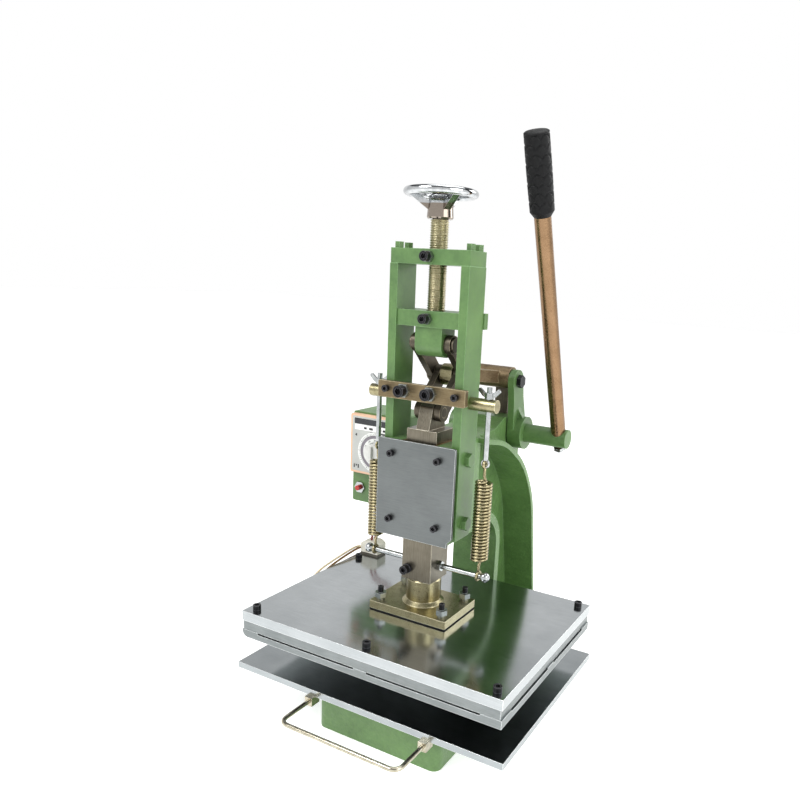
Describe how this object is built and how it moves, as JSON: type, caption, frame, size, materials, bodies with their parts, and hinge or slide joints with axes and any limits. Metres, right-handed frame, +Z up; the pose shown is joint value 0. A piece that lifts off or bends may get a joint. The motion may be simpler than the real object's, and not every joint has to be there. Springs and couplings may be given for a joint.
{
  "type": "toggle hot embossing press",
  "caption": "Lever operated toggle press with a heated flat platen on a square ram, return springs, screw height setting, pull-out bed plate and a dial temperature box.",
  "frame": {"origin": "underside of the base, straight below the axis of the ram", "axes": "+Z up along the ram, +Y to the back where the column stands, +X to the side of the hand lever"},
  "size_m": [0.4134, 0.52, 0.8031],
  "materials": {
    "green_paint": "satin",
    "dark_steel": "satin",
    "zinc_gold": "satin",
    "black_screws": "satin",
    "bright_steel": "polished",
    "ground_steel": "brushed",
    "platen_metal": "satin",
    "bronze": "satin",
    "black_sheet": "matte",
    "rubber": "matte",
    "ceramic": "matte",
    "controller_plastic": "matte",
    "knob_plastic": "satin",
    "red_plastic": "gloss",
    "lead_sleeve": "matte"
  },
  "bodies": {
    "frame": {"frame_casting": "green_paint", "shaft_bush": "bronze", "rest_stop": "dark_steel", "side_plate_left": "green_paint", "side_plate_right": "green_paint", "crossbar": "green_paint", "hex_bolts": "green_paint", "ram_gibs": "bronze", "guide_cover": "ground_steel", "hanger_bar": "zinc_gold", "locking_screws": "black_screws", "cap_screws": "black_screws", "hanger_studs": "zinc_gold", "wing_nuts": "bright_steel", "spring_rods": "bright_steel", "control_box": "green_paint", "control_arm": "green_paint", "controller": "controller_plastic", "power_switch": "bright_steel"},
    "bed": {"bed_plate": "ground_steel", "bed_guides": "ground_steel", "tray_handle": "bright_steel"},
    "slider": {"slider": "green_paint", "slider_lock_screw": "black_screws", "toggle_top_pin": "dark_steel"},
    "spindle": {"spindle": "zinc_gold", "handwheel": "bright_steel", "handwheel_nut": "black_screws"},
    "upper_links": {"upper_link_left": "dark_steel", "upper_link_right": "dark_steel", "knee_pin": "dark_steel"},
    "lower_links": {"lower_link_left": "dark_steel", "lower_link_right": "dark_steel"},
    "ram": {"ram": "dark_steel", "ram_pin": "dark_steel", "ram_clamp_screw": "black_screws", "flange": "zinc_gold", "levelling_screws": "black_screws", "insulation_sheet": "black_sheet", "spring_pins": "bright_steel", "platen_cover": "platen_metal", "platen_screws": "black_screws", "heater_block": "platen_metal", "die_plate": "platen_metal", "ceramic_terminal": "ceramic"},
    "knee_bush": {"rod_bush": "bronze"},
    "rod": {"rod_end": "zinc_gold", "connecting_rod": "dark_steel"},
    "crank": {"lever_shaft": "green_paint", "crank_arm_left": "green_paint", "crank_arm_right": "green_paint", "crank_pin": "black_screws", "lever_rod": "dark_steel", "lever_grip": "rubber", "lever_nut": "bright_steel"},
    "stretching": {"spring_left": "zinc_gold", "spring_right": "zinc_gold", "heater_leads": "lead_sleeve"},
    "dial_knob": {"controller_knob": "knob_plastic"},
    "button": {"switch_button": "red_plastic"}
  },
  "joints": [
    {"name": "lever_swing", "type": "hinge", "parent": "frame", "child": "crank", "pos_m": [0, 0.184, 0.4], "axis": [1, 0, 0], "range_deg": [0, 32.74], "stiffness_Nm_per_rad": 30, "springref_deg": -57.3},
    {"name": "slider_lift", "type": "slide", "parent": "frame", "child": "slider", "axis": [0, 0, 1], "range_m": [0, 0.012]},
    {"name": "spindle_turn", "type": "hinge", "parent": "slider", "child": "spindle", "pos_m": [0, 0, 0.7], "axis": [0, 0, 1], "range_deg": [0, 1440]},
    {"name": "upper_links_swing", "type": "hinge", "parent": "slider", "child": "upper_links", "pos_m": [0, 0, 0.54], "axis": [-1, 0, 0], "range_deg": [0, 43.76]},
    {"name": "lower_links_swing", "type": "hinge", "parent": "upper_links", "child": "lower_links", "pos_m": [0, 0.04696, 0.49506], "axis": [1, 0, 0], "range_deg": [0, 87.53]},
    {"name": "ram_pivot", "type": "hinge", "parent": "lower_links", "child": "ram", "pos_m": [0, 0, 0.45012], "axis": [-1, 0, 0], "range_deg": [0, 43.76]},
    {"name": "rod_swing", "type": "hinge", "parent": "upper_links", "child": "knee_bush", "pos_m": [0, 0.04696, 0.49506], "axis": [1, 0, 0], "range_deg": [0, 43.13]},
    {"name": "rod_trim", "type": "hinge", "parent": "knee_bush", "child": "rod", "pos_m": [0, 0.04696, 0.49506], "axis": [-1, 0, 0], "range_deg": [0, 5.61]},
    {"name": "spring_stretch", "type": "slide", "parent": "frame", "child": "stretching", "axis": [0, 0, -1], "range_m": [0, 0.04], "deforming": ["spring_left", "spring_right", "heater_leads"]},
    {"name": "bed_slide", "type": "slide", "parent": "frame", "child": "bed", "axis": [0, -1, 0], "range_m": [0, 0.12]},
    {"name": "dial_turn", "type": "hinge", "parent": "frame", "child": "dial_knob", "pos_m": [-0.155, 0.093, 0.35], "axis": [0, -1, 0], "range_deg": [0, 270]},
    {"name": "button_press", "type": "slide", "parent": "frame", "child": "button", "axis": [0, 1, 0], "range_m": [0, 0.003], "stiffness_N_per_m": 400}
  ],
  "couplings": [
    {"joint": "upper_links_swing", "follows": "lever_swing", "ratio": 1.3365},
    {"joint": "lower_links_swing", "follows": "lever_swing", "ratio": 2.673},
    {"joint": "ram_pivot", "follows": "lever_swing", "ratio": 1.3365},
    {"joint": "rod_swing", "follows": "lever_swing", "ratio": 1.3172},
    {"joint": "spring_stretch", "follows": "lever_swing", "m_per_rad": 0.069992},
    {"joint": "spindle_turn", "follows": "slider_lift", "rad_per_m": 2094.4},
    {"joint": "rod_trim", "follows": "slider_lift", "rad_per_m": 8.1642}
  ]
}
